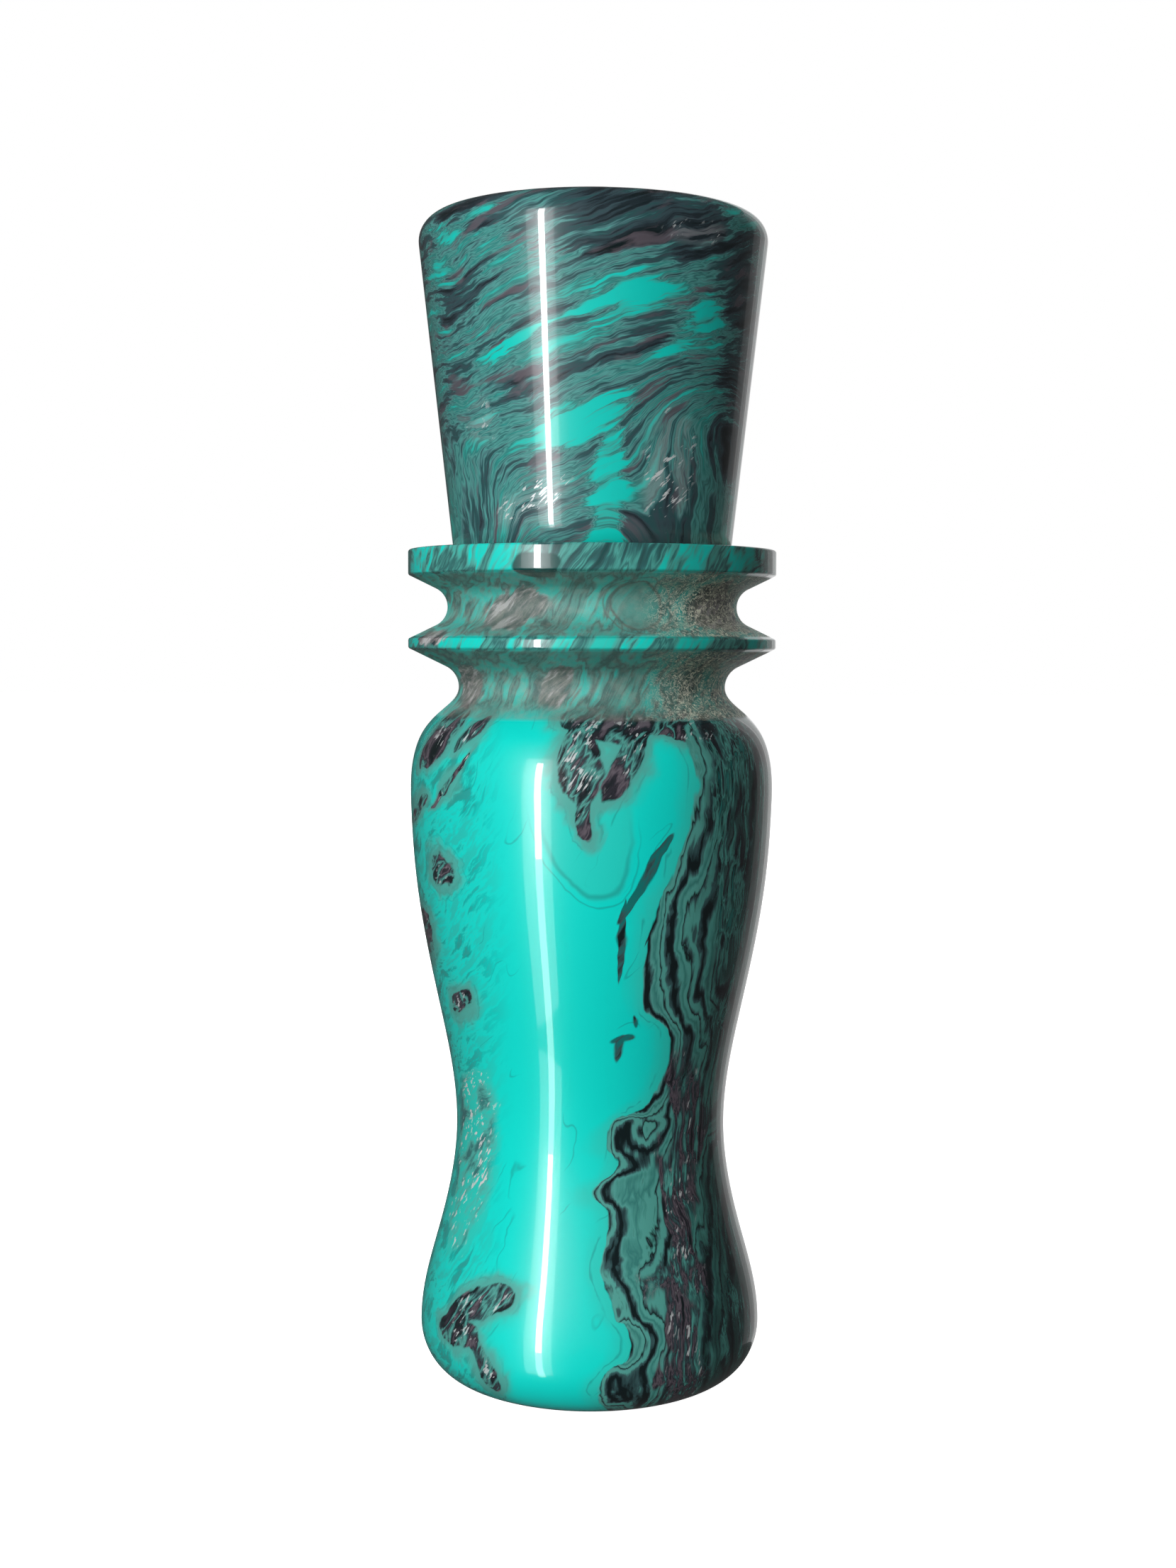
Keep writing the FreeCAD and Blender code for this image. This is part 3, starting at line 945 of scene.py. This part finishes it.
def make_reed(name, root, tongue, dimpled):
    """A strip of film with clipped tip corners."""
    low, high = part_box(tongue)[0] / MM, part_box(root)[1] / MM
    middle = 0.5 * (low.y + high.y)
    columns, rows = 35, 160
    bm = bmesh.new()
    sheets = []
    for face_y, share in ((low.y, 1.0), (high.y, 0.3)):
        sheet = []
        for i in range(rows + 1):
            z = low.z + (high.z - low.z) * i / rows
            half_width = high.x - max(0.0, TIP_CORNER - (z - low.z))
            row = []
            for k in range(columns + 1):
                x = half_width * (2 * k / columns - 1)
                at_edge = k in (0, columns) or i in (0, rows)
                y = face_y + (middle - face_y) * (0.35 if at_edge else 0.0)
                if dimpled:
                    away = math.hypot(abs(x) - 0.5 * DIMPLE_SPACING, z - DIMPLE_Z) / DIMPLE_RADIUS
                    y += share * DIMPLE_DEPTH * max(0.0, 1 - away**2)
                row.append(bm.verts.new((x * MM, y * MM, z * MM)))
            sheet.append(row)
        sheets.append(sheet)
    for sheet in sheets:
        for row, above in zip(sheet, sheet[1:]):
            for k in range(columns):
                bm.faces.new((row[k], row[k + 1], above[k + 1], above[k]))
    rims = []
    for sheet in sheets:
        right_side = [row[-1] for row in sheet[1:]]
        left_side = [row[0] for row in sheet[-2:0:-1]]
        rims.append(sheet[0] + right_side + sheet[-1][-2::-1] + left_side)
    outer, inner = rims
    for k in range(len(outer)):
        j = (k + 1) % len(outer)
        bm.faces.new((outer[k], outer[j], inner[j], inner[k]))
    bmesh.ops.recalc_face_normals(bm, faces=bm.faces)
    piece = finished_mesh(name, bm)
    assign(piece, reed_film())
    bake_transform(piece)
    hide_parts(root, tongue)


def make_o_ring(node):
    """A rubber ring, oval where it is squeezed, with a faint parting line inside and out."""
    low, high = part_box(node)[0] / MM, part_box(node)[1] / MM
    parting_line = 0.015
    centre_r = 0.5 * (O_RING_INNER_RADIUS + high.x)
    half_width = 0.5 * (high.x - O_RING_INNER_RADIUS) - parting_line
    half_height = 0.5 * (high.z - low.z)
    section = []
    steps = 48
    for i in range(steps):
        angle = 2 * math.pi * i / steps
        ridge = parting_line if i % (steps // 2) == 0 else 0.0
        r = centre_r + (half_width + ridge) * math.cos(angle)
        section.append((0.5 * (low.z + high.z) + half_height * math.sin(angle), r))
    piece = lathe(node + "_rubber", section)
    assign(piece, nitrile_rubber())
    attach(piece, "seal_rings")
    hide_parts(node)


def make_cork_wedge():
    """The wedge's own shape, remeshed and pitted along the seams between its granules."""
    depth = 0.09 * MM
    piece = bpy.data.objects.new("cork_wedge_granular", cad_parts["cork_wedge"].data.copy())
    bpy.context.scene.collection.objects.link(piece)
    remesh = piece.modifiers.new("even_faces", "REMESH")
    remesh.mode = "VOXEL"
    remesh.voxel_size = 0.17 * MM
    mesh = bpy.data.meshes.new_from_object(piece.evaluated_get(bpy.context.evaluated_depsgraph_get()))
    piece.modifiers.clear()
    piece.data = mesh
    inward = []
    for vertex in mesh.vertices:
        nearest, second = noise.voronoi(vertex.co / (CORK_GRAIN * MM))[0][:2]
        seam = max(0.0, 1 - 4 * (second - nearest))
        inward.append(vertex.co - vertex.normal * depth * (0.1 + 0.9 * seam))
    for vertex, place in zip(mesh.vertices, inward):
        vertex.co = place
    mesh.shade_smooth()
    assign(piece, composition_cork())
    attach(piece, "wedge")
    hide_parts("cork_wedge")


def make_inner_parts():
    assign(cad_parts["tone_board"], smoke_plastic())
    make_reed("long_reed_film", "long_reed_root", "long_reed_tongue", False)
    make_reed("short_reed_film", "short_reed_root", "short_reed_tongue", True)
    make_o_ring("front_o_ring")
    make_o_ring("rear_o_ring")
    make_cork_wedge()


# ---------------------------------------------------------------- stage


def white_stage():
    """A plain pale floor that runs into a plain pale background."""
    bm = bmesh.new()
    bmesh.ops.create_grid(bm, x_segments=1, y_segments=1, size=3.0)
    floor = finished_mesh("floor", bm)
    floor.location.z = -FLOOR_DROP * MM
    material = bpy.data.materials.new("floor_paper")
    material.use_nodes = True
    shader = material.node_tree.nodes["Principled BSDF"]
    shader.inputs["Base Color"].default_value = (0.8, 0.8, 0.8, 1)
    shader.inputs["Roughness"].default_value = 0.9
    shader.inputs["Specular IOR Level"].default_value = 0.0
    shader.inputs["Emission Color"].default_value = (1, 1, 1, 1)
    shader.inputs["Emission Strength"].default_value = 1.0
    assign(floor, material)
    floor.visible_glossy = False
    floor.visible_diffuse = False
    floor.visible_shadow = False


def surroundings():
    """White behind the object, and a dimmer grey room for it to be lit by."""
    world = bpy.data.worlds.new("studio")
    bpy.context.scene.world = world
    world.use_nodes = True
    tree = world.node_tree
    tree.nodes.clear()
    output = tree.nodes.new("ShaderNodeOutputWorld")
    seen = tree.nodes.new("ShaderNodeBackground")
    room = tree.nodes.new("ShaderNodeBackground")
    rays = tree.nodes.new("ShaderNodeLightPath")
    mix = tree.nodes.new("ShaderNodeMixShader")
    seen.inputs["Color"].default_value = (1, 1, 1, 1)
    seen.inputs["Strength"].default_value = 1.0
    room.inputs["Color"].default_value = (1, 1, 1, 1)
    room.inputs["Strength"].default_value = ROOM_BRIGHTNESS
    tree.links.new(rays.outputs["Is Camera Ray"], mix.inputs["Fac"])
    tree.links.new(room.outputs[0], mix.inputs[1])
    tree.links.new(seen.outputs[0], mix.inputs[2])
    tree.links.new(mix.outputs[0], output.inputs["Surface"])


def softbox(name, azimuth, elevation, distance, width, height, brightness, mirrored=True, lights_up=True):
    """A rectangular light that faces the middle of the call.

    Azimuth 0 is the camera's side and + is its right. mirrored=False keeps the light out of reflections, and
    lights_up=False keeps it to reflections only. Neither is physical.
    """
    light = bpy.data.lights.new(name, "AREA")
    light.shape = "RECTANGLE"
    light.size = width * MM
    light.size_y = height * MM
    light.energy = 4 * brightness * light.size * light.size_y
    lamp = bpy.data.objects.new(name, light)
    middle = Vector((0, 0, 0.5 * CALL_LENGTH * MM))
    a, e = math.radians(azimuth), math.radians(elevation)
    out = Vector((math.sin(a) * math.cos(e), -math.cos(a) * math.cos(e), math.sin(e)))
    lamp.location = middle + out * distance * MM
    lamp.rotation_euler = out.to_track_quat("Z", "Y").to_euler()
    lamp.visible_glossy = mirrored
    lamp.visible_diffuse = lights_up
    bpy.context.scene.collection.objects.link(lamp)


def lights():
    softbox("strip", -33, 4, 600, 42, 380, 24.0)
    softbox("strip_tail", -33, -25, 600, 46, 280, 4.5, lights_up=False)
    softbox("strip_halo", -34, -4, 620, 200, 720, 1.5, lights_up=False)
    softbox("key", -30, 22, 900, 600, 600, 4.5, mirrored=False)
    softbox("front_fill", -2, 8, 1200, 900, 900, 0.8, mirrored=False)
    for azimuth, brightness in ((134, 0.10), (146, 0.22), (158, 0.38), (172, 0.6)):
        softbox("right_back", azimuth, 4, 700, 170, 800, brightness, lights_up=False)
    softbox("side_fill", 142, 15, 900, 600, 600, 2.4, mirrored=False)
    softbox("back_key", 204, 25, 900, 600, 600, 3.6, mirrored=False)
    softbox("back_strip", 180, 4, 600, 46, 380, 14.0, lights_up=False)
    softbox("back_fill", 195, 55, 900, 700, 700, 1.0, mirrored=False)


def camera():
    data = bpy.data.cameras.new("camera")
    data.sensor_width = SENSOR_WIDTH
    data.lens = LENS
    data.clip_start = 0.01
    eye = bpy.data.objects.new("camera", data)
    eye.location = Vector(EYE) * MM
    eye.rotation_euler = (math.radians(90) - LOOK_DOWN, ROLL, 0)
    bpy.context.scene.collection.objects.link(eye)
    bpy.context.scene.camera = eye


def main():
    make_barrel()
    make_stopper()
    make_inner_parts()
    white_stage()
    surroundings()
    lights()
    camera()
    bpy.context.scene.view_settings.view_transform = "Standard"


main()
